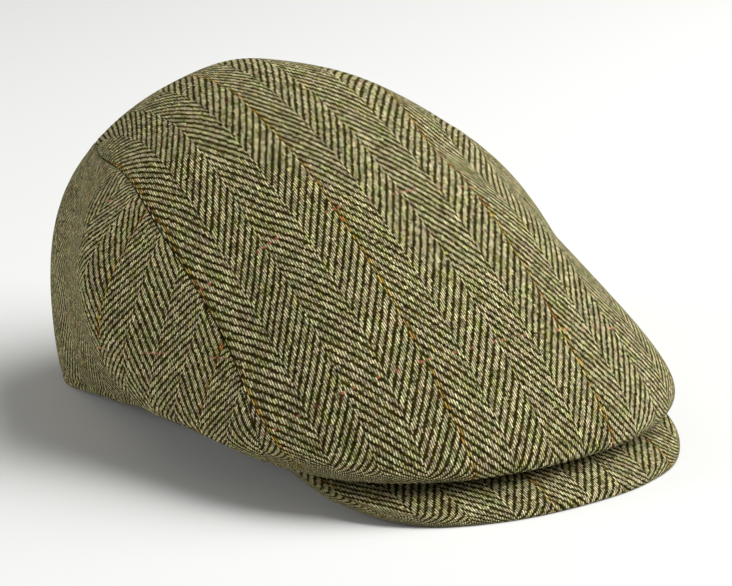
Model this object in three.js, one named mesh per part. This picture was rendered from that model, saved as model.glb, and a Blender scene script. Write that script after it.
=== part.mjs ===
import * as THREE from 'three';
import { mergeVertices } from 'three/addons/utils/BufferGeometryUtils.js';
import { NURBSCurve } from 'three/addons/curves/NURBSCurve.js';

// Flat cap in millimetres: +Z is up, the peak points to -Y and the wearer's left is +X.
// It stands on the back of its hem and on the front edge of its peak, both at height 0.
// The crown is laid out around an upright post through its top, as half-sections at angles from the front.

const POST_X = 1.5; // the post stands this far to the left of the middle of the cap
const POST_Y = 38.3; // and this far behind it
const WALL = 2; // tweed and its backing
const SEAM_GAP = 0.4; // between neighbouring panels
const SEAM_FOOT = 41; // degrees from the front to where each side seam meets the hem
const HEM_TURN = 0.08; // share of a section over which the wall's edge turns to lie level at the hem

const TOP_Z = 127; // height of the crown at the post
const TOP_R = 40; // every section leaves the post along one plane, steered at this distance
const TOP_FALL = 0.32; // fall of that plane towards the front, mm per mm

const PEAK_END = 48; // degrees from the front to each end of the peak
const PEAK_THICK = 3.5; // board and the tweed on both its faces
const PEAK_GAP = 0.3; // between the peak and the crown that lies on it
const PEAK_BEND = 4; // the peak bends down late: its drop grows with this power of the way out

const SIDE_COLUMNS = 30; // grid of a side panel, along its seam and from hem to seam
const SIDE_ROWS = 13;
const SIDE_ROW_CROWDING = 1.3; // above 1 the rows crowd at the hem, where the wall turns under
const HEM_COLUMNS = 20; // grid of the top panel, along the front hem and from its edge to the post
const TOP_ROWS = 17;
const TOP_ROW_CROWDING = 1.6; // above 1 the rows crowd at the edge, where the front rolls over the peak
const PEAK_COLUMNS = 44; // grid of the peak, around its front, across it and around its edge
const PEAK_ROWS = 9;
const PEAK_EDGE_ROWS = 4;
const SAME = 1e-6; // points closer than this are one corner

// Half-sections of the crown. Each is a smooth curve steered by points given as [distance from post, height]:
// the hem, the low point above it, the fullest point and the shoulder. Both sides are alike. A height below 0
// is a hem that lies flat on the floor.
const SECTIONS = [
  { angle: 0, hem: [124, 17.5], low: [170, 9.5], full: [173, 15.5], shoulder: [108.5, 73] },
  { angle: 30, hem: [121, 18], low: [162, 10.5], full: [168, 19], shoulder: [101.5, 80] },
  { angle: 60, hem: [107, 21], low: [122, 20.5], full: [129, 29], shoulder: [90, 86] },
  { angle: 90, hem: [91, 5.5], low: [100, 17.5], full: [119, 69], shoulder: [87, 97] },
  { angle: 115, hem: [95, 1], low: [101, 12], full: [111, 65], shoulder: [83, 108] },
  { angle: 135, hem: [102, -0.3], low: [104, 10], full: [108, 63], shoulder: [86, 113] },
  { angle: 155, hem: [97, -0.3], low: [100, 11], full: [108, 62], shoulder: [81, 119] },
  { angle: 180, hem: [92, -0.3], low: [97, 12], full: [108, 61], shoulder: [75, 126] },
];

// Soft dents in the crown, negative angles on the wearer's right: where each is, its reach, how its angle
// leans with the share, and its depth, which is negative where the cloth stands out.
const DENTS = [
  { angle: 52, share: 0.8, angleReach: 22, shareReach: 0.1, lean: 0, depth: 3 },
  { angle: 28, share: 0.55, angleReach: 14, shareReach: 0.12, lean: 0, depth: 2 },
  { angle: -48, share: 0.68, angleReach: 16, shareReach: 0.1, lean: 0, depth: 2 },
  { angle: -85, share: 0.32, angleReach: 14, shareReach: 0.2, lean: -45, depth: -3 },
  { angle: -138, share: 0.3, angleReach: 14, shareReach: 0.3, lean: 0, depth: -4.2 },
];

// At the back of the wearer's right the crown is pressed flat between two folds: the angle of the fold in
// front of the flat, and how far it is pressed in, 1 being the chord of the round.
const FOLD = [
  { share: 0, front: -66, flatness: 0.5 },
  { share: 0.16, front: -74, flatness: 0.5 },
  { share: 0.22, front: -81, flatness: 0.6 },
  { share: 0.32, front: -85, flatness: 0.65 },
  { share: 0.45, front: -90, flatness: 0.65 },
  { share: 0.6, front: -106, flatness: 0.5 },
  { share: 0.72, front: -110, flatness: 0 },
];
const FOLD_BACK = -136; // angle of the fold behind the flat
const FOLD_ROUND = 0.01; // how much of the round is left at the folds
const FOLD_REACH = 0.7; // the flat is worked out no further round than this cosine from its middle

// The seam between the top panel and a side panel, from its foot at the hem to the middle of the back:
// how far along it is, its angle from the front and how far up the section it runs.
const SEAM = [
  { along: 0, angle: SEAM_FOOT, share: 0 },
  { along: 0.14, angle: 42.2, share: 0.26 },
  { along: 0.25, angle: 48, share: 0.455 },
  { along: 0.35, angle: 57.5, share: 0.549 },
  { along: 0.46, angle: 73, share: 0.617 },
  { along: 0.57, angle: 95, share: 0.661 },
  { along: 0.7, angle: 125, share: 0.615 },
  { along: 1, angle: 180, share: 0.6 },
];

// The peak's reach out from the hem and how far its edge drops below the line it starts along.
const PEAK = [
  { angle: 0, reach: 53, drop: 5 },
  { angle: 12, reach: 52.5, drop: 5 },
  { angle: 22, reach: 48.5, drop: 4.7 },
  { angle: 32, reach: 35, drop: 2.6 },
  { angle: 40, reach: 14, drop: 1 },
  { angle: PEAK_END, reach: 3, drop: 0 },
];

const TWEED = { color: '#7c7752', roughness: 0.95, metalness: 0 };

// Smooth curve through the rows of a table. Level ends are for tables that mirror at both ends.
function through(xs, rows, x, levelEnds) {
  const last = xs.length - 1;
  const rise = (k, c) => (rows[k + 1][c] - rows[k][c]) / (xs[k + 1] - xs[k]);
  const slope = (k, c) => {
    if (k === 0 || k === last) return levelEnds ? 0 : rise(Math.min(k, last - 1), c);
    const before = xs[k] - xs[k - 1];
    const after = xs[k + 1] - xs[k];
    return (rise(k - 1, c) * after + rise(k, c) * before) / (before + after);
  };
  let k = 0;
  while (k < last - 1 && x > xs[k + 1]) k++;
  const step = xs[k + 1] - xs[k];
  const s = (x - xs[k]) / step;
  const rising = s * s * (3 - 2 * s);
  return rows[k].map((value, c) =>
    value * (1 - rising) + rows[k + 1][c] * rising
    + step * s * (1 - s) * ((1 - s) * slope(k, c) - s * slope(k + 1, c)));
}

const SECTION_ANGLES = SECTIONS.map((row) => row.angle);
const SECTION_POINTS = SECTIONS.map((row) => [...row.hem, ...row.low, ...row.full, ...row.shoulder]);
const SECTION_KNOTS = [0, 0, 0, 0, 1 / 3, 2 / 3, 1, 1, 1, 1];
const FOLD_SHARES = FOLD.map((row) => row.share);
const FOLD_SIZES = FOLD.map((row) => [row.front, row.flatness]);
const SEAM_ALONG = SEAM.map((row) => row.along);
const SEAM_POINTS = SEAM.map((row) => [row.angle, row.share]);
const PEAK_ANGLES = PEAK.map((row) => row.angle);
const PEAK_SIZES = PEAK.map((row) => [row.reach, row.drop]);

// A point at a distance from the post and a height, in the half-plane at an angle from the front.
function around(angle, r, z) {
  const a = THREE.MathUtils.degToRad(angle);
  return new THREE.Vector3(POST_X + r * Math.sin(a), POST_Y - r * Math.cos(a), z);
}

// The same angle between -180 and 180.
function turnOf(angle) {
  return THREE.MathUtils.euclideanModulo(angle + 180, 360) - 180;
}

// Steering points of the section at any angle.
function sectionPoints(angle) {
  return through(SECTION_ANGLES, SECTION_POINTS, Math.abs(turnOf(angle)), true);
}

// The crown's smooth shape: share runs up a section from 0 at the hem to 1 at the post.
function smoothCrown(angle, share) {
  const p = sectionPoints(angle);
  const topZ = TOP_Z - TOP_FALL * TOP_R * Math.cos(THREE.MathUtils.degToRad(angle));
  const steering = [[p[0], p[1]], [p[2], p[3]], [p[4], p[5]], [p[6], p[7]], [TOP_R, topZ], [0, TOP_Z]];
  const curve = new NURBSCurve(3, SECTION_KNOTS, steering.map(([r, z]) => new THREE.Vector4(r, z, 0, 1)));
  const { x: r, y: z } = curve.getPoint(share);
  return around(angle, r, z);
}

// Directions on a surface at a place: along the angle, up the share, and out.
function directions(surface, angle, share) {
  const dAngle = 0.05;
  const dShare = 0.001;
  const s = THREE.MathUtils.clamp(share, dShare, 1 - 2 * dShare);
  const along = surface(angle + dAngle, s).sub(surface(angle - dAngle, s)).divideScalar(2 * dAngle);
  const up = surface(angle, s + dShare).sub(surface(angle, s - dShare)).divideScalar(2 * dShare);
  return { along, up, out: along.clone().cross(up).normalize() };
}

// How deep the crown is pressed in between the two folds, as a chord across its round.
function pressed(angle, share) {
  const [front, flatness] = through(FOLD_SHARES, FOLD_SIZES, Math.min(share, FOLD_SHARES.at(-1)), true);
  const half = THREE.MathUtils.degToRad(front - FOLD_BACK) / 2;
  const off = THREE.MathUtils.degToRad(turnOf(angle - (front + FOLD_BACK) / 2));
  const chord = 1 - Math.cos(half) / Math.max(Math.cos(off), FOLD_REACH);
  const { x, y } = smoothCrown(angle, share);
  return flatness * Math.hypot(x - POST_X, y - POST_Y) * (chord + Math.hypot(chord, FOLD_ROUND)) / 2;
}

// The dented crown, which lies flat where it would pass below the floor.
function crown(angle, share) {
  let depth = pressed(angle, share);
  for (const dent of DENTS) {
    const s = share - dent.share;
    const a = turnOf(angle - dent.angle - dent.lean * s);
    depth += dent.depth * Math.exp(-((a / dent.angleReach) ** 2) - (s / dent.shareReach) ** 2);
  }
  const point = smoothCrown(angle, share).addScaledVector(directions(smoothCrown, angle, share).out, -depth);
  return point.setZ(Math.max(0, point.z));
}

// The inside of the crown's wall. At the hem the wall's edge lies level.
function crownInside(angle, share) {
  const { out } = directions(crown, angle, share);
  const level = around(angle, 1, 0).sub(around(angle, 0, 0));
  const inward = level.lerp(out, Math.min(1, share / HEM_TURN)).normalize();
  return crown(angle, share).addScaledVector(inward, -WALL);
}

// A place on a panel's edge along the left seam. The edge keeps half the seam's gap: towards is +1 for
// the side panel's edge and -1 for the top panel's.
function seamEdge(along, towards) {
  const [angle, share] = through(SEAM_ALONG, SEAM_POINTS, along, false);
  const step = 0.001;
  const from = through(SEAM_ALONG, SEAM_POINTS, Math.max(0, along - step), false);
  const to = through(SEAM_ALONG, SEAM_POINTS, Math.min(1, along + step), false);
  const run = smoothCrown(to[0], to[1]).sub(smoothCrown(from[0], from[1])).normalize();
  const { along: byAngle, up: byShare, out } = directions(smoothCrown, angle, share);
  const away = run.cross(out).multiplyScalar(towards * SEAM_GAP / 2);
  const aa = byAngle.dot(byAngle);
  const ab = byAngle.dot(byShare);
  const bb = byShare.dot(byShare);
  const a = away.dot(byAngle);
  const b = away.dot(byShare);
  const det = aa * bb - ab * ab;
  return {
    angle: angle + (a * bb - b * ab) / det,
    share: Math.max(0, share + (b * aa - a * ab) / det),
  };
}

// Closed sheet between two faces given on a grid. The outer face looks out where columns run to the right
// of rows that run up. A wrapped sheet joins its last column to its first.
function sheet(columns, rows, wrapped, outer, inner) {
  const corners = [];
  const triangle = (a, b, c) => {
    if (a.distanceTo(b) < SAME || b.distanceTo(c) < SAME || c.distanceTo(a) < SAME) return;
    corners.push(a, b, c);
  };
  const quad = (a, b, c, d) => {
    triangle(a, b, c);
    triangle(a, c, d);
  };
  const grid = (face) => Array.from({ length: columns + 1 }, (_, i) =>
    Array.from({ length: rows + 1 }, (_, j) => face(wrapped ? i % columns : i, j)));
  const o = grid(outer);
  const n = grid(inner);
  for (let i = 0; i < columns; i++) {
    for (let j = 0; j < rows; j++) {
      quad(o[i][j], o[i + 1][j], o[i + 1][j + 1], o[i][j + 1]);
      quad(n[i][j], n[i][j + 1], n[i + 1][j + 1], n[i + 1][j]);
    }
    quad(o[i][0], n[i][0], n[i + 1][0], o[i + 1][0]);
    quad(o[i][rows], o[i + 1][rows], n[i + 1][rows], n[i][rows]);
  }
  for (let j = 0; j < rows && !wrapped; j++) {
    quad(o[0][j], o[0][j + 1], n[0][j + 1], n[0][j]);
    quad(o[columns][j], n[columns][j], n[columns][j + 1], o[columns][j + 1]);
  }
  return mergeVertices(new THREE.BufferGeometry().setFromPoints(corners));
}

// A panel of the crown: place(i, j) gives the angle and share of each grid point.
function panel(columns, rows, wrapped, place) {
  const on = (surface) => (i, j) => {
    const { angle, share } = place(i, j);
    return surface(angle, share);
  };
  return sheet(columns, rows, wrapped, on(crown), on(crownInside));
}

// A side panel runs from the seam's foot to the middle of the back, and from the hem up to the seam.
function sidePanel(side) {
  const backRadius = SECTIONS.at(-1).hem[0];
  const backAngle = 180 - THREE.MathUtils.radToDeg(SEAM_GAP / 2 / backRadius);
  const footAngle = seamEdge(0, 1).angle;
  return panel(SIDE_COLUMNS, SIDE_ROWS, false, (i, j) => {
    const along = side > 0 ? i / SIDE_COLUMNS : 1 - i / SIDE_COLUMNS;
    const seam = seamEdge(along, 1);
    const hemAngle = THREE.MathUtils.lerp(footAngle, backAngle, along);
    const up = (j / SIDE_ROWS) ** SIDE_ROW_CROWDING;
    const angle = THREE.MathUtils.lerp(hemAngle, Math.min(seam.angle, backAngle), up);
    return { angle: side * angle, share: seam.share * up };
  });
}

// The top panel's edge runs along the right seam, the front hem and the left seam. Its columns meet at the post.
function topPanel() {
  const leftSeam = Array.from({ length: SIDE_COLUMNS + 1 }, (_, i) => seamEdge(i / SIDE_COLUMNS, -1));
  leftSeam[SIDE_COLUMNS].angle = 180;
  const rightSeam = leftSeam.slice(0, -1).map(({ angle, share }) => ({ angle: -angle, share })).reverse();
  const hemEnd = leftSeam[0].angle;
  const hem = Array.from({ length: HEM_COLUMNS - 1 }, (_, i) =>
    ({ angle: THREE.MathUtils.lerp(-hemEnd, hemEnd, (i + 1) / HEM_COLUMNS), share: 0 }));
  const edge = [...rightSeam, ...hem, ...leftSeam];
  return panel(edge.length, TOP_ROWS, true, (i, j) => {
    if (j === TOP_ROWS) return { angle: 0, share: 1 };
    const { angle, share } = edge[i];
    return { angle, share: THREE.MathUtils.lerp(share, 1, (j / TOP_ROWS) ** TOP_ROW_CROWDING) };
  });
}

// The peak: a curved board that starts at the hem, lies under the front of the crown and bends down to the floor.
function peak() {
  const half = PEAK_THICK / 2;
  const place = (i, j) => {
    const angle = THREE.MathUtils.lerp(-PEAK_END, PEAK_END, i / PEAK_COLUMNS);
    const [hemR, hemZ, lowR, lowZ] = sectionPoints(angle);
    const [reach, drop] = through(PEAK_ANGLES, PEAK_SIZES, Math.abs(angle), false);
    const round = Math.max(0, j - PEAK_ROWS) / PEAK_EDGE_ROWS * Math.PI / 2;
    const out = (reach - half) * Math.min(1, j / PEAK_ROWS) + half * Math.sin(round);
    const line = hemZ + (lowZ - hemZ) * out / (lowR - hemR);
    const middle = line - PEAK_GAP - half - drop * (out / reach) ** PEAK_BEND;
    return { angle, r: hemR + out, middle, thick: half * Math.cos(round) };
  };
  const face = (side) => (i, j) => {
    const { angle, r, middle, thick } = place(i, j);
    return around(angle, r, Math.max(0, middle + side * thick));
  };
  return sheet(PEAK_COLUMNS, PEAK_ROWS + PEAK_EDGE_ROWS, false, face(-1), face(1));
}

const cap = new THREE.Group();
cap.name = 'flat_cap';
const pieces = { top_panel: topPanel(), side_panel_right: sidePanel(-1), side_panel_left: sidePanel(1), peak: peak() };
for (const [name, geometry] of Object.entries(pieces)) {
  const mesh = new THREE.Mesh(geometry, new THREE.MeshStandardMaterial(TWEED));
  mesh.name = name;
  cap.add(mesh);
}

export default cap;
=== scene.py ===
import functools
import math

import bmesh
import bpy
import numpy as np
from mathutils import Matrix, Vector, noise


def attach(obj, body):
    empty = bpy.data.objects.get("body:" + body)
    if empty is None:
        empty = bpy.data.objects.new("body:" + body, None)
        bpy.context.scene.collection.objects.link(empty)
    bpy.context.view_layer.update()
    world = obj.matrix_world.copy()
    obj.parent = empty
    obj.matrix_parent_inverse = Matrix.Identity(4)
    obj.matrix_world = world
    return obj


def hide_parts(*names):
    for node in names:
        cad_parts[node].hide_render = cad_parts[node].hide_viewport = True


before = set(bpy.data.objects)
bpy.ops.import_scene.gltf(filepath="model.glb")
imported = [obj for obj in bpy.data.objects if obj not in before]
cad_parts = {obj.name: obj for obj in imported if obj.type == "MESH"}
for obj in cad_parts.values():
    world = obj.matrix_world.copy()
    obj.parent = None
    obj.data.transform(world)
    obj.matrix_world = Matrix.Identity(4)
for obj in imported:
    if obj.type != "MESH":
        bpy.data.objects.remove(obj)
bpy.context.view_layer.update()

# Flat cap of herringbone tweed: two side panels and a top panel sewn into a crown, over a covered peak.
# Sizes are in millimetres and degrees until a point goes into a mesh, which is in metres.
# Left and right are the wearer's: +X is to the left, and the front is towards -Y.
MM = 0.001
TINY = 1e-9  # keeps a division from zero, and a share below 1

# The crown's driving sizes, the same as in the part's solids
POST_X, POST_Y = 1.5, 38.3  # an upright post through the crown's top
WALL = 2.0  # tweed and its backing
SEAM_GAP = 0.4  # between neighbouring panels
SEAM_FOOT = 41.0  # degrees from the front to where each side seam meets the hem
TOP_Z = 127.0  # height of the crown at the post
TOP_R = 40.0  # every section leaves the post along one plane, steered at this distance
TOP_FALL = 0.32  # fall of that plane towards the front
PEAK_END = 48.0  # degrees from the front to each end of the peak
PEAK_THICK = 3.5
PEAK_GAP = 0.3  # between the peak and the crown that lies on it
PEAK_BEND = 4  # the peak bends down late: its drop grows with this power of the way out

# Half-sections of the crown around the post: angle from the front, then distance from the post and height
# of the hem, of the low point above it, of the fullest point and of the shoulder
SECTIONS = np.array([
    # angle  hem       low       full      shoulder
    [0, 124, 17.5, 170, 9.5, 173, 15.5, 108.5, 73],
    [30, 121, 18, 162, 10.5, 168, 19, 101.5, 80],
    [60, 107, 21, 122, 20.5, 129, 29, 90, 86],
    [90, 91, 5.5, 100, 17.5, 119, 69, 87, 97],
    [115, 95, 1, 101, 12, 111, 65, 83, 108],
    [135, 102, -0.3, 104, 10, 108, 63, 86, 113],
    [155, 97, -0.3, 100, 11, 108, 62, 81, 119],
    [180, 92, -0.3, 97, 12, 108, 61, 75, 126],
], float)

# Soft dents and ridges: angle (negative on the wearer's right), share of the way up the section, the reach of
# both, how the angle leans with the share, and the depth, which is negative where the cloth stands out
DENTS = [
    (52, 0.8, 22, 0.1, 0, 3),
    (28, 0.55, 14, 0.12, 0, 2),
    (-48, 0.68, 16, 0.1, 0, 2),
    (-85, 0.32, 14, 0.2, -45, -3),
    (-138, 0.3, 14, 0.3, 0, -4.2),
]

# At the back of the wearer's right the crown is pressed flat between two folds: share up the section, angle
# of the fold in front of the flat, and how far it is pressed in, 1 being the chord of the round
FOLD = np.array([
    [0, -66, 0.5],
    [0.16, -74, 0.5],
    [0.22, -81, 0.6],
    [0.32, -85, 0.65],
    [0.45, -90, 0.65],
    [0.6, -106, 0.5],
    [0.72, -110, 0],
], float)
FOLD_BACK = -136  # angle of the fold behind the flat
FOLD_ROUND = 0.01  # how much of the round is left at the folds
FOLD_REACH = 0.7  # the flat is worked out no further round than this cosine from its middle

# The side seam from its foot at the hem to the middle of the back: how far along, angle, share up the section
SEAM = np.array([
    [0, SEAM_FOOT, 0],
    [0.14, 42.2, 0.26],
    [0.25, 48, 0.455],
    [0.35, 57.5, 0.549],
    [0.46, 73, 0.617],
    [0.57, 95, 0.661],
    [0.7, 125, 0.615],
    [1, 180, 0.6],
], float)

# The peak: angle, its reach out from the hem, how far its edge drops
PEAK = np.array([
    [0, 53, 5],
    [12, 52.5, 5],
    [22, 48.5, 4.7],
    [32, 35, 2.6],
    [40, 14, 1],
    [PEAK_END, 3, 0],
], float)

# Sewing details
SEAM_SINK = 0.5  # both edges of a seam are drawn in this deep
SEAM_SINK_WIDTH = 1.0  # over this width
SEAM_PUFF = 0.2  # the cloth stands proud over the turnings beside a seam
SEAM_PUFF_AT = 3.4  # at this distance from it
SEAM_PUFF_WIDTH = 2.0
SEAM_START = 0.1  # share of a section over which the top panel's seams deepen, up from the hem
BACK_SEAM = 0.6  # the seam down the back is this much as deep as the others
HEM_STITCH = 4.0  # a line of hidden stitches holds the turned hem this far above its edge
HEM_SINK = 0.7
HEM_STITCH_WIDTH = 0.9
HEM_EDGE = 2.0  # sewing and waves shape the cloth fully from this far above the hem's edge
EASE = 0.55  # height of the soft waves in the steamed cloth
EASE_LENGTH = 42.0  # and their length
EASE_FADE = 12.0  # they fade this close to an edge
EASE_START = 0.3  # on the top panel they start at this share of a section
EASE_START_FADE = 0.15
EDGE_ROUND = 0.6  # rounding of the panels' edges
EDGE_TURN = 50.0  # degrees by which the cloth turns at such an edge, at least

# Grids of cloth: columns and rows, and how much the rows crowd towards a panel's edges
SIDE_GRID = (150, 76)
SIDE_ROW_CROWDING = 1.35
TOP_GRID = (170, 130)
TOP_ROW_CROWDING = 1.3
TOP_CORNER = 0.74  # the back corners of the top panel's grid sit this far along the seams
PEAK_GRID = (120, 64)
PEAK_EDGE_ROWS = 12  # rows around the peak's edge

# The tweed: width of one stripe of the herringbone and the warp ends in it, spacing of ends and of weft
# picks, and the check lines. The yarns are drawn a little coarser than they are, so that they show
STRIPE = 16.25
STRIPE_ENDS = 19
END = STRIPE / STRIPE_ENDS
PICK = 1.38
REPEAT = 4  # picks in which a warp end goes over two and under two
AMBER_STRIPES = 4  # stripes from one pair of amber ends to the next
AMBER_AT = (STRIPE_ENDS * AMBER_STRIPES / 2 + 1) * END  # the middle of the first pair
RUST_PICKS = 57  # picks from one rust pick to the next
RUST_AT = 19  # the first of them

# How the top panel's cloth lies: its middle is a little to the right, and its stripes are drawn together
# towards the back, as pairs of the place from front to back and the yarns gathered into a yarn's width
TOP_OFF_CENTRE = 2.5
TOP_GATHER = [(-115, 0.93), (50, 1.09)]
TOP_PIVOT = -33.0  # the place along the warp about which the cloth is drawn askew
TOP_LEAN = 0.045  # to the left for each millimetre behind it
TOP_SPREAD = 0.0022  # and on the left half also wider, by this share for each millimetre
TOP_FRONT = -50.0  # ahead of this place along the warp the picks are drawn together
TOP_DRAWN = 0.0009  # by this much for each millimetre, squared
# How the side panels' cloth lies: turned round and tilted back. Its stripes are drawn forward about a pivot
# and its picks down at the front, so that both end up less tilted than the grain
SIDE_GRAIN = 15.0  # degrees
SIDE_START = (55.05, 0.0)  # the place on the cloth that it is laid from, across and along the warp
SIDE_PIVOT = -14.85  # place along the warp
SIDE_LEAN = 0.2425  # forward for each millimetre up the warp
SIDE_SKEW = 0.13  # down for each millimetre towards the front
SIDE_GATHER = (1.147, 1.42)  # yarns gathered into a yarn's width, across and along the warp
# How the peak's cloth lies
PEAK_AMBER = -13.4  # place of a pair of amber ends, to the right of the middle
PEAK_START = 46.0  # the peak's edge lies here along the warp, where no rust pick shows
PEAK_GATHER = (0.96, 1.16)  # yarns gathered into a yarn's width, across and along the warp

# The yarns' irregularities and relief
WANDER = 1.2  # yarns wander within this width
WANDER_LENGTH = 18.0  # over about this length
SLIP_LENGTH = 1.5  # floats start late or early, changing over this many picks or ends
WARP_SLIP = 1.5  # by up to this many picks
WEFT_SLIP = 1.0  # and ends
TINT_LENGTH = 9.0  # a yarn's tint drifts over this many of the yarns that it crosses
PATCH_LENGTH = 7.0  # size of patches of slightly different dye
YARN_APART = 3.7  # keeps what happens along one yarn apart from its neighbours
YARN_ROUND = 0.6  # share of a yarn's roundness in the weave's relief
RELIEF = 0.25  # depth of that relief
WARP_SHOWS = (-0.9, -0.2)  # the warp comes into sight as its height over the weft goes through these
CREST_ACROSS = (0.5, 0.95)  # the painted highlight on a warp float's crest grows between these values of its roundness
CREST_ALONG = (-0.6, 0.3)  # and of its wave

# Dye of the yarns, and the painted light and shade on their relief: limits of brightness, and colours by
# their place on a ramp
FLOAT_SHADE = (0.7, 1.2)  # the darkest and the lightest float
WARP_PAINTED_LIGHT = (0.2, 1.1)  # painted shade on a warp float beside its crest, and painted highlight on the crest
WEFT_PAINTED_LIGHT = (0.8, 1.35)  # the same painted shade and highlight on a weft float
FUZZ = (0.3, 1.7)  # stray fibres
WARP_TINTS = [(0.25, "#9ba061"), (0.4, "#aca978"), (0.5, "#bab594"), (0.62, "#b0a88a"), (0.75, "#a9a08f")]
WEFT_TINTS = [(0.25, "#1e2503"), (0.42, "#272103"), (0.55, "#302603"), (0.66, "#271f06"), (0.78, "#3e2205")]
AMBER_TINTS = [(0.0, "#9c7238"), (0.35, "#b0903c"), (0.7, "#a39352"), (1.0, "#905a30")]
RUST_TINTS = [(0.0, "#84463a"), (0.5, "#8c5048"), (1.0, "#5a2c1c")]
DYES = [(0.35, "#f8ffec"), (0.5, "#fffbf1"), (0.65, "#fff5ee")]
# How strongly the check's floats show: chance values from and to, and the strength at each
AMBER_SHOWS = (0.0, 0.6, 0.25, 0.95)
RUST_SHOWS = (0.3, 0.8, 0.0, 0.85)
LINE_REACH = 0.6  # yarns up to this far from a line's middle belong to it: two amber ends, one rust pick


def through(table, x, level_ends):
    """Smooth curve through the rows of a table by its first column, level at both ends or not."""
    xs, rows = table[:, 0], table[:, 1:]
    steps = np.diff(xs)[:, None]
    rises = np.diff(rows, axis=0) / steps
    slopes = np.zeros_like(rows)
    slopes[1:-1] = (rises[:-1] * steps[1:] + rises[1:] * steps[:-1]) / (steps[:-1] + steps[1:])
    if not level_ends:
        slopes[0], slopes[-1] = rises[0], rises[-1]
    k = np.clip(np.searchsorted(xs, x) - 1, 0, len(xs) - 2)
    step = steps[k]
    s = (x - xs[k])[..., None] / step
    rising = s * s * (3 - 2 * s)
    return (rows[k] * (1 - rising) + rows[k + 1] * rising
            + step * s * (1 - s) * ((1 - s) * slopes[k] - s * slopes[k + 1]))


def turn_of(angle):
    """The same angle between -180 and 180."""
    return (angle + 180) % 360 - 180


def around(angle, r, z):
    """Points at a distance from the post and a height, at an angle from the front."""
    a = np.radians(angle)
    return np.stack([POST_X + r * np.sin(a), POST_Y - r * np.cos(a), z], -1)


def section_points(angle):
    """Steering points of the section at each angle: distances from the post and heights."""
    p = through(SECTIONS, np.abs(turn_of(angle)), True)
    top = np.stack([np.full_like(angle, TOP_R), np.zeros_like(angle)], -1)
    top_z = np.stack([TOP_Z - TOP_FALL * TOP_R * np.cos(np.radians(angle)), np.full_like(angle, TOP_Z)], -1)
    return np.concatenate([p[..., 0::2], top], -1), np.concatenate([p[..., 1::2], top_z], -1)


def spline_weights(share, points=6, degree=3):
    """Weights of the steering points on a smooth section that starts and ends on its end points."""
    inner = np.linspace(0, 1, points - degree + 1)
    knots = np.concatenate([np.zeros(degree), inner, np.ones(degree)])
    t = np.clip(share, 0, 1 - TINY)
    weights = [((knots[i] <= t) & (t < knots[i + 1])) * 1.0 for i in range(len(knots) - 1)]
    for d in range(1, degree + 1):
        raised = []
        for i in range(len(knots) - d - 1):
            before = knots[i + d] - knots[i]
            after = knots[i + d + 1] - knots[i + 1]
            weight = np.zeros_like(t)
            if before > 0:
                weight = weight + (t - knots[i]) / before * weights[i]
            if after > 0:
                weight = weight + (knots[i + d + 1] - t) / after * weights[i + 1]
            raised.append(weight)
        weights = raised
    return np.stack(weights[:points], -1)


def smooth_crown(angle, share):
    """Points on the crown without its dents: share runs up a section from 0 at the hem to 1 at the post."""
    radii, heights = section_points(angle)
    weights = spline_weights(share)
    return around(angle, (radii * weights).sum(-1), (heights * weights).sum(-1))


def unit(vectors):
    """The same directions, one long."""
    return vectors / np.maximum(np.linalg.norm(vectors, axis=-1, keepdims=True), TINY)


def directions(angle, share):
    """Directions on the smooth crown at each place: along the angle, up the share, and out."""
    d_angle, d_share = 0.05, 0.001
    s = np.clip(share, d_share, 1 - 2 * d_share)
    along = (smooth_crown(angle + d_angle, s) - smooth_crown(angle - d_angle, s)) / (2 * d_angle)
    up = (smooth_crown(angle, s + d_share) - smooth_crown(angle, s - d_share)) / (2 * d_share)
    return along, up, unit(np.cross(along, up))


def pressed(angle, share):
    """How deep the crown is pressed in between the two folds."""
    front, flatness = np.moveaxis(through(FOLD, np.minimum(share, FOLD[-1, 0]), True), -1, 0)
    half = np.radians(front - FOLD_BACK) / 2
    off = np.radians(turn_of(angle - (front + FOLD_BACK) / 2))
    chord = 1 - np.cos(half) / np.maximum(np.cos(off), FOLD_REACH)
    radius = np.linalg.norm(smooth_crown(angle, share)[..., :2] - (POST_X, POST_Y), axis=-1)
    return flatness * radius * (chord + np.hypot(chord, FOLD_ROUND)) / 2


def crown(angle, share):
    """Points on the dented crown and the directions out of it."""
    out = directions(angle, share)[2]
    depth = pressed(angle, share)
    for at_angle, at_share, angle_reach, share_reach, lean, deep in DENTS:
        s = (share - at_share) / share_reach
        a = turn_of(angle - at_angle - lean * (share - at_share)) / angle_reach
        depth += deep * np.exp(-a * a - s * s)
    return smooth_crown(angle, share) - out * depth[..., None], out


def seam_edge(along, towards):
    """A panel's edge along the left seam, half the gap away from it: towards is +1 for the side panel's edge
    and -1 for the top panel's."""
    step = 0.001
    place = through(SEAM, along, False)
    before = through(SEAM, np.maximum(0, along - step), False)
    after = through(SEAM, np.minimum(1, along + step), False)
    angle, share = place[..., 0], place[..., 1]
    run = unit(smooth_crown(after[..., 0], after[..., 1]) - smooth_crown(before[..., 0], before[..., 1]))
    by_angle, by_share, out = directions(angle, share)
    away = np.cross(run, out) * towards * SEAM_GAP / 2

    # The step away from the seam as a change of angle and of share
    aa = (by_angle * by_angle).sum(-1)
    ab = (by_angle * by_share).sum(-1)
    bb = (by_share * by_share).sum(-1)
    a = (away * by_angle).sum(-1)
    b = (away * by_share).sum(-1)
    det = aa * bb - ab * ab
    return angle + (a * bb - b * ab) / det, np.maximum(0, share + (b * aa - a * ab) / det)


def grid_normals(points):
    """Directions out of a grid of points. Seen from outside, columns follow each other to the right and rows
    upwards."""
    return unit(np.cross(np.gradient(points, axis=0), np.gradient(points, axis=1)))


def running_sums(steps, axis):
    """Sums of the steps along the grid lines, from 0 at their start."""
    lead = np.zeros_like(np.take(steps, [0], axis=axis))
    return np.cumsum(np.concatenate([lead, steps], axis=axis), axis=axis)


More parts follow.
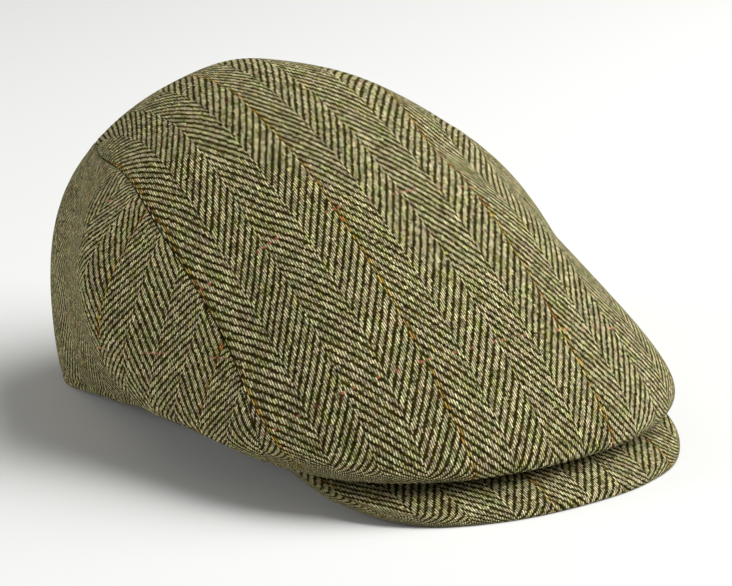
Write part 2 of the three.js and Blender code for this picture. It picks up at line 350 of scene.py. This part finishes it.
def run_lengths(points, axis):
    """Distance along the grid lines from their start."""
    return running_sums(np.linalg.norm(np.diff(points, axis=axis), axis=-1), axis)


def lay_cloth(points, out, spine_axis, grain=None):
    """Place on the flat cloth, across and along its warp, of each point of a grid. The cloth is laid from the
    middle line of the grid out to both sides. Its warp follows the grain, or else its weft follows X."""
    if grain is None:
        across = unit(np.array([1.0, 0, 0]) - out * out[..., :1])
        warp = np.cross(out, across)
    else:
        warp = unit(grain - out * (out @ grain)[..., None])
        across = np.cross(warp, out)

    def walk(axis):
        """Distance across and along the warp from the middle of each grid line."""
        count = points.shape[axis]
        moves = np.diff(points, axis=axis)
        for direction in (across, warp):
            ahead = np.take(direction, range(1, count), axis=axis)
            behind = np.take(direction, range(count - 1), axis=axis)
            sums = running_sums((moves * (ahead + behind) / 2).sum(-1), axis)
            yield sums - np.take(sums, [count // 2], axis=axis)

    middle = [points.shape[1 - spine_axis] // 2]
    spine = [np.take(sums, middle, axis=1 - spine_axis) for sums in walk(spine_axis)]
    return np.stack([sums + start for sums, start in zip(walk(1 - spine_axis), spine)], -1)


def soft_waves(points, seed):
    """Slow rise and fall of cloth that was steamed over a form and handled since."""
    waves = [noise.noise(Vector(p) / EASE_LENGTH + Vector((seed, 0, 0))) for p in points.reshape(-1, 3)]
    return np.array(waves).reshape(points.shape[:-1]) * EASE


def sewn_edge(distance):
    """How far cloth stands out at a distance from its seam: drawn in at the stitches, proud over the
    turnings."""
    puff = SEAM_PUFF * np.exp(-((distance - SEAM_PUFF_AT) / SEAM_PUFF_WIDTH) ** 2)
    return puff - SEAM_SINK * np.exp(-(distance / SEAM_SINK_WIDTH) ** 2)


def cloth_piece(points, cloth):
    """Makes a body from a grid of points, with the place on the flat cloth as its UV map, in millimetres.
    Gives the body and the column and row of each of its corners."""
    columns, rows = points.shape[0] - 1, points.shape[1] - 1
    body = bmesh.new()
    bmesh.ops.create_grid(body, x_segments=columns, y_segments=rows, size=0.5)
    weave = body.loops.layers.uv.new("weave")
    place = {}
    for vert in body.verts:
        i, j = round((vert.co.x + 0.5) * columns), round((vert.co.y + 0.5) * rows)
        place[vert] = i, j
        vert.co = Vector(points[i, j]) * MM
    for face in body.faces:
        face.smooth = True
        for loop in face.loops:
            loop[weave].uv = cloth[place[loop.vert]]
    return body, place


def finish_piece(body, name, node):
    """Makes a piece from a body, in place of a solid of the part."""
    mesh = bpy.data.meshes.new(name)
    body.to_mesh(mesh)
    body.free()
    piece = bpy.data.objects.new(name, mesh)
    bpy.context.scene.collection.objects.link(piece)
    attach(piece, "root")
    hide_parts(node)
    return piece


def thicken(piece):
    """Gives a panel its wall, inwards from its face, and rounds the wall's edges."""
    wall = piece.modifiers.new("wall", "SOLIDIFY")
    wall.thickness = WALL * MM
    wall.offset = -1
    rounded = piece.modifiers.new("rounded edges", "BEVEL")
    rounded.width = EDGE_ROUND * MM
    rounded.segments = 2
    rounded.limit_method = "ANGLE"
    rounded.angle_limit = math.radians(EDGE_TURN)


def crowded(count, power):
    """Even steps from 0 to 1 drawn towards both ends."""
    t = np.linspace(-1, 1, count + 1)
    return 0.5 + 0.5 * np.sign(t) * (1 - (1 - np.abs(t)) ** power)


def side_panel(name, side, seed):
    """A side panel from its seam down to the hem: side is +1 on the wearer's left and -1 on the right."""
    columns, rows = SIDE_GRID
    along = np.linspace(0, 1, columns + 1)
    seam_angle, seam_share = seam_edge(along, 1)
    back_angle = 180 - math.degrees(SEAM_GAP / 2 / SECTIONS[-1, 1])
    hem_angle = seam_angle[0] + (back_angle - seam_angle[0]) * along
    up = crowded(rows, SIDE_ROW_CROWDING)
    angle = hem_angle[:, None] + (np.minimum(seam_angle, back_angle) - hem_angle)[:, None] * up
    share = seam_share[:, None] * up
    points, out = crown(side * angle, share)
    if side < 0:
        points, out = points[::-1], out[::-1]
    rise = run_lengths(points, 1)
    from_seam = rise[:, -1:] - rise
    from_back = run_lengths(points, 0)
    if side > 0:
        from_back = from_back[-1:] - from_back
    fade = np.clip(np.minimum(rise, from_seam) / EASE_FADE, 0, 1)
    proud = sewn_edge(from_seam) + BACK_SEAM * sewn_edge(from_back) + soft_waves(points, seed) * fade
    proud -= HEM_SINK * np.exp(-((rise - HEM_STITCH) / HEM_STITCH_WIDTH) ** 2)
    points = points + out * (proud * np.clip(rise / HEM_EDGE, 0, 1))[..., None]
    points[..., 2] = np.maximum(points[..., 2], 0)  # the back of the hem lies flat on the floor
    tilt = math.radians(SIDE_GRAIN)
    cloth = lay_cloth(points, out, 0, np.array([0, math.sin(tilt), math.cos(tilt)]))
    cloth[..., 1] -= side * SIDE_SKEW * cloth[..., 0]
    cloth[..., 0] += side * SIDE_LEAN * (cloth[..., 1] - SIDE_PIVOT)
    cloth = (SIDE_START - cloth) * SIDE_GATHER
    body = cloth_piece(points, cloth)[0]
    piece = finish_piece(body, name, "side_panel_left" if side > 0 else "side_panel_right")
    thicken(piece)
    return piece


def top_panel(name, seed):
    """The top panel from the front hem back over the crown, between the two side seams."""
    columns, rows = TOP_GRID
    a = np.linspace(0, 1, columns + 1)
    b = crowded(rows, TOP_ROW_CROWDING)

    def flat_place(angle, share):
        """Place on a disc that stands for the crown, with the post at its middle."""
        turn = np.radians(angle)
        return np.stack([(1 - share) * np.sin(turn), -(1 - share) * np.cos(turn)], -1)

    left = flat_place(*seam_edge(b * TOP_CORNER, -1))
    right = left * (-1, 1)
    back_along = 1 - (1 - TOP_CORNER) * np.abs(2 * a - 1)
    back = flat_place(*seam_edge(back_along, -1))
    back[..., 0] = np.abs(back[..., 0]) * np.sign(2 * a - 1)
    foot = seam_edge(np.zeros(1), -1)[0][0]
    front = flat_place(foot * (2 * a - 1), np.zeros_like(a))

    # The grid's places are blended from its four edges
    a, b = a[:, None, None], b[None, :, None]
    flat = (front[:, None] * (1 - b) + back[:, None] * b + right[None] * (1 - a) + left[None] * a
            - (front[0] * (1 - a) + front[-1] * a) * (1 - b) - (back[0] * (1 - a) + back[-1] * a) * b)
    angle = np.degrees(np.arctan2(flat[..., 0], -flat[..., 1]))
    share = 1 - np.linalg.norm(flat, axis=-1)
    points, out = crown(angle, np.maximum(share, 0))
    across = run_lengths(points, 0)
    rise = run_lengths(points, 1)
    from_seam = np.minimum(np.minimum(across, across[-1:] - across), rise[:, -1:] - rise)
    clear = np.clip((share - EASE_START) / EASE_START_FADE, 0, 1)
    fade = np.clip(from_seam / EASE_FADE, 0, 1) * clear
    proud = sewn_edge(from_seam) * np.clip(share / SEAM_START, 0, 1) + soft_waves(points, seed) * fade
    points = points + out * proud[..., None]
    cloth = lay_cloth(points, out, 1)
    cloth[..., 0] += TOP_OFF_CENTRE
    cloth[..., 0] *= np.interp(points[..., 1], *zip(*TOP_GATHER))
    behind = cloth[..., 1] - TOP_PIVOT
    cloth[..., 0] -= TOP_LEAN * behind
    cloth[..., 0] *= np.where(cloth[..., 0] > 0, 1 - TOP_SPREAD * behind, 1)
    cloth[..., 1] -= TOP_DRAWN * np.maximum(TOP_FRONT - cloth[..., 1], 0) ** 2
    body = cloth_piece(points, cloth)[0]
    piece = finish_piece(body, name, "top_panel")
    thicken(piece)
    return piece


def covered_peak(name):
    """The peak's board in its cover: a thin crescent, drawn from the hem out over its top, round its edge and
    back below."""
    columns, rows = PEAK_GRID
    half = PEAK_THICK / 2
    angle = np.linspace(-PEAK_END, PEAK_END, columns + 1)[:, None]

    # For each row, the way out to the edge, and how far up or down the row faces
    face_rows = (rows - PEAK_EDGE_ROWS) // 2
    way_out = np.linspace(0, 1, face_rows + 1)
    way = np.concatenate([way_out, np.ones(PEAK_EDGE_ROWS - 1), way_out[::-1]])
    round_edge = np.linspace(90, -90, PEAK_EDGE_ROWS + 1)
    turn = np.concatenate([np.full(face_rows, 90), round_edge, np.full(face_rows, -90)])

    # The middle of the board follows the crown's underside out from the hem, and bends down late
    radii, heights = section_points(angle)
    reach, drop = np.moveaxis(through(PEAK, np.abs(angle), False), -1, 0)
    out = (reach - half) * way + half * np.cos(np.radians(turn))
    line = heights[..., 0] + (heights[..., 1] - heights[..., 0]) * out / (radii[..., 1] - radii[..., 0])
    middle = line - PEAK_GAP - half - drop * (np.maximum(out, 0) / reach) ** PEAK_BEND
    height = np.maximum(0, middle + half * np.sin(np.radians(turn)))
    points = around(angle, radii[..., 0] + out, height)[:, ::-1]
    cloth = lay_cloth(points, grid_normals(points), 1)
    cloth = (AMBER_AT, PEAK_START) + (cloth - (PEAK_AMBER, 0)) * PEAK_GATHER
    body, place = cloth_piece(points, cloth)

    # Both faces meet in a narrow strip along the hem, and each end is closed
    open_edges = [edge for edge in body.edges if edge.is_boundary]
    hem = [edge for edge in open_edges if place[edge.verts[0]][1] == place[edge.verts[1]][1]]
    strip = bmesh.ops.bridge_loops(body, edges=hem)["faces"]
    open_edges = [edge for edge in body.edges if edge.is_boundary]
    ends = bmesh.ops.holes_fill(body, edges=open_edges, sides=0)["faces"]
    bmesh.ops.recalc_face_normals(body, faces=body.faces)
    weave = body.loops.layers.uv["weave"]
    for loop in [loop for face in ends for loop in face.loops]:
        loop[weave].uv = cloth[place[loop.vert]]
    for loop in [loop for face in strip for loop in face.loops]:
        column, row = place[loop.vert]
        loop[weave].uv = cloth[column, 0] + (0, PEAK_THICK * (row > 0))
    return finish_piece(body, name, "peak")


def linear(colour):
    """Linear colour from sRGB hex."""
    parts = [int(colour[k:k + 2], 16) / 255 for k in (1, 3, 5)]
    return (*[c / 12.92 if c <= 0.04045 else ((c + 0.055) / 1.055) ** 2.4 for c in parts], 1)


def add_node(tree, kind, inputs=(), stops=(), **settings):
    """Adds a node with its settings and the stops of its colour ramp, and gives its first output. Inputs go
    by order or by name, and one that is the output of another node is linked."""
    made = tree.nodes.new("ShaderNode" + kind)
    for key, value in settings.items():
        setattr(made, key, value)
    for key, value in inputs.items() if isinstance(inputs, dict) else enumerate(inputs):
        if isinstance(value, bpy.types.NodeSocket):
            tree.links.new(value, made.inputs[key])
        else:
            made.inputs[key].default_value = value
    if stops:
        ramp = made.color_ramp.elements
        while len(ramp) < len(stops):
            ramp.new(1.0)
        for stop, (position, colour) in zip(ramp, stops):
            stop.position = position
            stop.color = linear(colour)
    return made.outputs[0] if len(made.outputs) else None


def herringbone_tweed():
    """Woven wool herringbone tweed, in a two-and-two twill that turns back at every stripe."""
    # The eye sees slanting ropes of light khaki warp over a dark olive weft. They are flecked, because the
    # yarns are spun from wool of several dyes, and matt, because fibres stand out of them in all directions.
    # Pairs of amber ends and single rust picks make a wide check of broken lines
    material = bpy.data.materials.new("woven wool herringbone tweed")
    material.use_nodes = True
    material.node_tree.nodes.clear()
    add = functools.partial(add_node, material.node_tree)

    def drift(yarn, along, length, seed):
        """A slow change along each yarn."""
        apart = add("Math", (yarn, YARN_APART), operation="MULTIPLY")
        way = add("Math", (along, length), operation="DIVIDE")
        place = add("CombineXYZ", (apart, way, seed))
        return add("TexNoise", {"Vector": place, "Scale": 1.0, "Detail": 1.0})

    def heather(yarn, stretch, seed):
        """A chance value for each stretch of each yarn."""
        place = add("CombineXYZ", (yarn, stretch, seed))
        return add("TexWhiteNoise", (place,), noise_dimensions="3D")

    def slipped(steps, yarn, along, most, seed):
        """Steps of the twill along a yarn whose floats start late or early."""
        late = drift(yarn, along, SLIP_LENGTH, seed)
        slip = add("Math", (late, 2 * most, -most), operation="MULTIPLY_ADD")
        return add("Math", (steps, slip), operation="ADD")

    def relief(across, steps, over):
        """How round a yarn is, its wave over and under the yarns that it crosses, and its height."""
        part = add("Math", (across,), operation="FRACT")
        half_turn = add("Math", (part, math.pi), operation="MULTIPLY")
        roundness = add("Math", (half_turn,), operation="SINE")
        turn = add("Math", (steps, math.tau / REPEAT), operation="MULTIPLY")
        cosine = add("Math", (turn,), operation="COSINE")
        wave = add("Math", (cosine, over), operation="MULTIPLY")
        return roundness, wave, add("Math", (roundness, YARN_ROUND, wave), operation="MULTIPLY_ADD")

    def float_number(steps, start):
        """Which float of its yarn this is."""
        from_start = add("Math", (steps, start), operation="ADD")
        floats = add("Math", (from_start, REPEAT), operation="DIVIDE")
        return add("Math", (floats,), operation="FLOOR")

    def check_line(yarn, spacing, middle):
        """Where the yarn belongs to a line of the check."""
        place = add("Math", (yarn, spacing), operation="FLOORED_MODULO")
        return add("Math", (place, middle, LINE_REACH), operation="COMPARE")

    def spun(yarn, along, stretch, tints, line, line_tints, line_shows, crest, light, seeds):
        """Colour of one set of yarns: tints that drift along them, the check's line, and a painted highlight
        on the crests with painted shade beside them.
        """
        tint_seed, shade_seed, line_seed, shows_seed = seeds
        tint = add("ValToRGB", (drift(yarn, along, TINT_LENGTH, tint_seed),), stops=tints)
        line_tint = add("ValToRGB", (heather(yarn, stretch, line_seed),), stops=line_tints)
        shows = add("MapRange", (heather(yarn, stretch, shows_seed), *line_shows))
        line_part = add("Math", (line, shows), operation="MULTIPLY")
        colour = add("MixRGB", (line_part, tint, line_tint))
        shade = add("MapRange", (heather(yarn, stretch, shade_seed), 0.0, 1.0, *FLOAT_SHADE))
        # painted light and shade: each float is made lighter on its crest and darker beside it
        painted_crest_light = add("MapRange", (crest, 0.0, 1.0, *light))
        tone_and_painted_light = add("Math", (painted_crest_light, shade), operation="MULTIPLY")
        return add("MixRGB", (1.0, colour, tone_and_painted_light), blend_type="MULTIPLY")

    # The flat cloth counted in warp ends and weft picks, which wander a little
    weave = add("UVMap", uv_map="weave")
    wander = add("TexNoise", {"Vector": weave, "Scale": 1 / WANDER_LENGTH, "Detail": 4.0, "Roughness": 0.6},
                 noise_dimensions="2D")
    slack = add("VectorMath", (wander, (0.5, 0.5, 0.5)), operation="SUBTRACT")
    laid = add("VectorMath", (slack, (WANDER, WANDER, 0), weave), operation="MULTIPLY_ADD")
    counted = add("VectorMath", (laid, (1 / END, 1 / PICK, 0)), operation="MULTIPLY")
    ends = add("SeparateXYZ", (counted,))
    picks = ends.node.outputs["Y"]
    end = add("Math", (ends,), operation="FLOOR")
    pick = add("Math", (picks,), operation="FLOOR")

    # The twill: each end is one step on from its neighbour in its run over and under, and in every other
    # stripe the steps run back, half a run on
    stripes = add("Math", (ends, STRIPE_ENDS), operation="DIVIDE")
    stripe = add("Math", (stripes,), operation="FLOOR")
    turned = add("Math", (stripe, 2.0), operation="FLOORED_MODULO")
    shift = add("Math", (turned, REPEAT / 2), operation="MULTIPLY")
    end_middle = add("Math", (end, 0.5), operation="ADD")
    end_fold = add("Math", (end_middle, STRIPE_ENDS), operation="PINGPONG")
    end_step = add("Math", (end_fold, shift), operation="ADD")
    warp_even = add("Math", (picks, end_step), operation="ADD")
    warp_steps = slipped(warp_even, end, picks, WARP_SLIP, seed=7.0)
    pick_middle = add("Math", (pick, 0.5), operation="ADD")
    pick_fold = add("Math", (ends, STRIPE_ENDS), operation="PINGPONG")
    pick_step = add("Math", (pick_fold, shift), operation="ADD")
    weft_even = add("Math", (pick_middle, pick_step), operation="ADD")
    weft_steps = slipped(weft_even, pick, ends, WEFT_SLIP, seed=8.0)

    # Which yarn lies on top, where it stands highest, and its crest, which gets a painted highlight
    warp_round, warp_wave, warp_height = relief(ends, warp_steps, 1.0)
    weft_round, weft_wave, weft_height = relief(picks, weft_steps, -1.0)
    height = add("Math", (warp_height, weft_height), operation="MAXIMUM")
    warp_above = add("Math", (warp_height, weft_height), operation="SUBTRACT")
    warp_shows = add("MapRange", (warp_above, *WARP_SHOWS))
    crest_across = add("MapRange", (warp_round, *CREST_ACROSS), interpolation_type="SMOOTHSTEP")
    crest_along = add("MapRange", (warp_wave, *CREST_ALONG), interpolation_type="SMOOTHSTEP")
    warp_crest = add("Math", (crest_across, crest_along), operation="MULTIPLY")
    weft_over = add("Math", (weft_wave, 0.0), operation="MAXIMUM")
    weft_crest = add("Math", (weft_round, weft_over), operation="MULTIPLY")

    # The two sets of yarns, with the check's amber ends and rust picks
    amber_ends = STRIPE_ENDS * AMBER_STRIPES
    amber_line = check_line(end, amber_ends, amber_ends / 2 + 0.5)
    rust_line = check_line(pick, RUST_PICKS, RUST_AT)
    warp_seen = spun(
        end, picks, float_number(warp_steps, REPEAT / 2), tints=WARP_TINTS,
        line=amber_line, line_tints=AMBER_TINTS, line_shows=AMBER_SHOWS,
        crest=warp_crest, light=WARP_PAINTED_LIGHT, seeds=(1.0, 3.0, 5.0, 12.0))
    weft_seen = spun(
        pick, ends, float_number(weft_steps, 0.0), tints=WEFT_TINTS,
        line=rust_line, line_tints=RUST_TINTS, line_shows=RUST_SHOWS,
        crest=weft_crest, light=WEFT_PAINTED_LIGHT, seeds=(2.0, 4.0, 6.0, 9.0))
    yarns = add("MixRGB", (warp_shows, weft_seen, warp_seen))

    # Patches of slightly different dye, and stray fibres as a mottle
    patches = add("TexNoise", {"Vector": weave, "Scale": 1 / PATCH_LENGTH, "Detail": 1.0},
                  noise_dimensions="2D")
    dye = add("ValToRGB", (patches,), stops=DYES)
    dyed = add("MixRGB", (1.0, yarns, dye), blend_type="MULTIPLY")
    pairs = add("Math", (ends, 2.0), operation="DIVIDE")
    pair = add("Math", (pairs,), operation="FLOOR")
    fibres = add("Math", (heather(end, pick, seed=10.0), heather(pair, pick, seed=11.0)), operation="ADD")
    fuzz = add("MapRange", (fibres, 0.0, 2.0, *FUZZ))
    colour = add("MixRGB", (1.0, dyed, fuzz), blend_type="MULTIPLY")

    raised = add("Bump", {"Strength": 0.6, "Distance": RELIEF * MM, "Height": height})
    surface = add("BsdfPrincipled", {
        "Base Color": colour, "Normal": raised, "Roughness": 0.95, "Specular IOR Level": 0.02})
    add("OutputMaterial", {"Surface": surface})
    return material


tweed = herringbone_tweed()
cap = [
    top_panel("tweed_top_panel", seed=3.7),
    side_panel("tweed_side_panel_right", -1, seed=11.3),
    side_panel("tweed_side_panel_left", 1, seed=19.9),
    covered_peak("tweed_covered_peak"),
]
for piece in cap:
    piece.data.materials.append(tweed)

# Pale paper floor, even and without gloss
FLOOR_REACH = 6.0  # in metres to each side
floor_body = bmesh.new()
bmesh.ops.create_grid(floor_body, x_segments=1, y_segments=1, size=FLOOR_REACH)
floor_mesh = bpy.data.meshes.new("paper_floor")
floor_body.to_mesh(floor_mesh)
floor_body.free()
paper_floor = bpy.data.objects.new("paper_floor", floor_mesh)
bpy.context.scene.collection.objects.link(paper_floor)
paper = bpy.data.materials.new("matt white paper")
paper.use_nodes = True
paper_inputs = paper.node_tree.nodes["Principled BSDF"].inputs
paper_inputs["Base Color"].default_value = linear("#d2d2d0")
paper_inputs["Roughness"].default_value = 0.9
floor_mesh.materials.append(paper)

# Camera: right front of the cap, a little above it
CAMERA_TURN, CAMERA_RISE = -37.0, 16.0
CAMERA_DISTANCE = 1300.0
CAMERA_AIM = (10.6, 8.8, 47.5)
CAMERA_SIGHT = (0.05, 50.0)  # nearest and furthest that it sees, in metres
SENSOR = 36.0
LENS = 157.3
turn = math.radians(CAMERA_TURN)
rise = math.radians(CAMERA_RISE)
back = Vector((math.sin(turn) * math.cos(rise), -math.cos(turn) * math.cos(rise), math.sin(rise)))
camera_data = bpy.data.cameras.new("camera")
camera_data.sensor_width = SENSOR
camera_data.lens = LENS
camera_data.clip_start, camera_data.clip_end = CAMERA_SIGHT
camera = bpy.data.objects.new("camera", camera_data)
camera.location = (Vector(CAMERA_AIM) + back * CAMERA_DISTANCE) * MM
camera.rotation_mode = "QUATERNION"
camera.rotation_quaternion = (-back).to_track_quat("-Z", "Y")
bpy.context.scene.collection.objects.link(camera)
bpy.context.scene.camera = camera

# Lights: a large soft one high at the left front and a weak one low at the right back, in metres and watts
LIGHT_AIM = (0, 0, 0.06)


def softbox(name, place, size, power):
    """A square soft light that points at the cap."""
    lamp = bpy.data.lights.new(name, "AREA")
    lamp.size = size
    lamp.energy = power
    light = bpy.data.objects.new(name, lamp)
    light.location = place
    light.rotation_mode = "QUATERNION"
    light.rotation_quaternion = (Vector(LIGHT_AIM) - Vector(place)).to_track_quat("-Z", "Y")
    bpy.context.scene.collection.objects.link(light)


softbox("key", place=(1.3, -0.75, 1.5), size=2.4, power=109)
softbox("fill", place=(-1.6, 0.7, 0.45), size=1.0, power=18)
world = bpy.data.worlds.new("studio")
world.use_nodes = True
background = world.node_tree.nodes["Background"].inputs
background["Color"].default_value = linear("#ffffff")
background["Strength"].default_value = 0.2
bpy.context.scene.world = world
bpy.context.scene.view_settings.view_transform = "Standard"
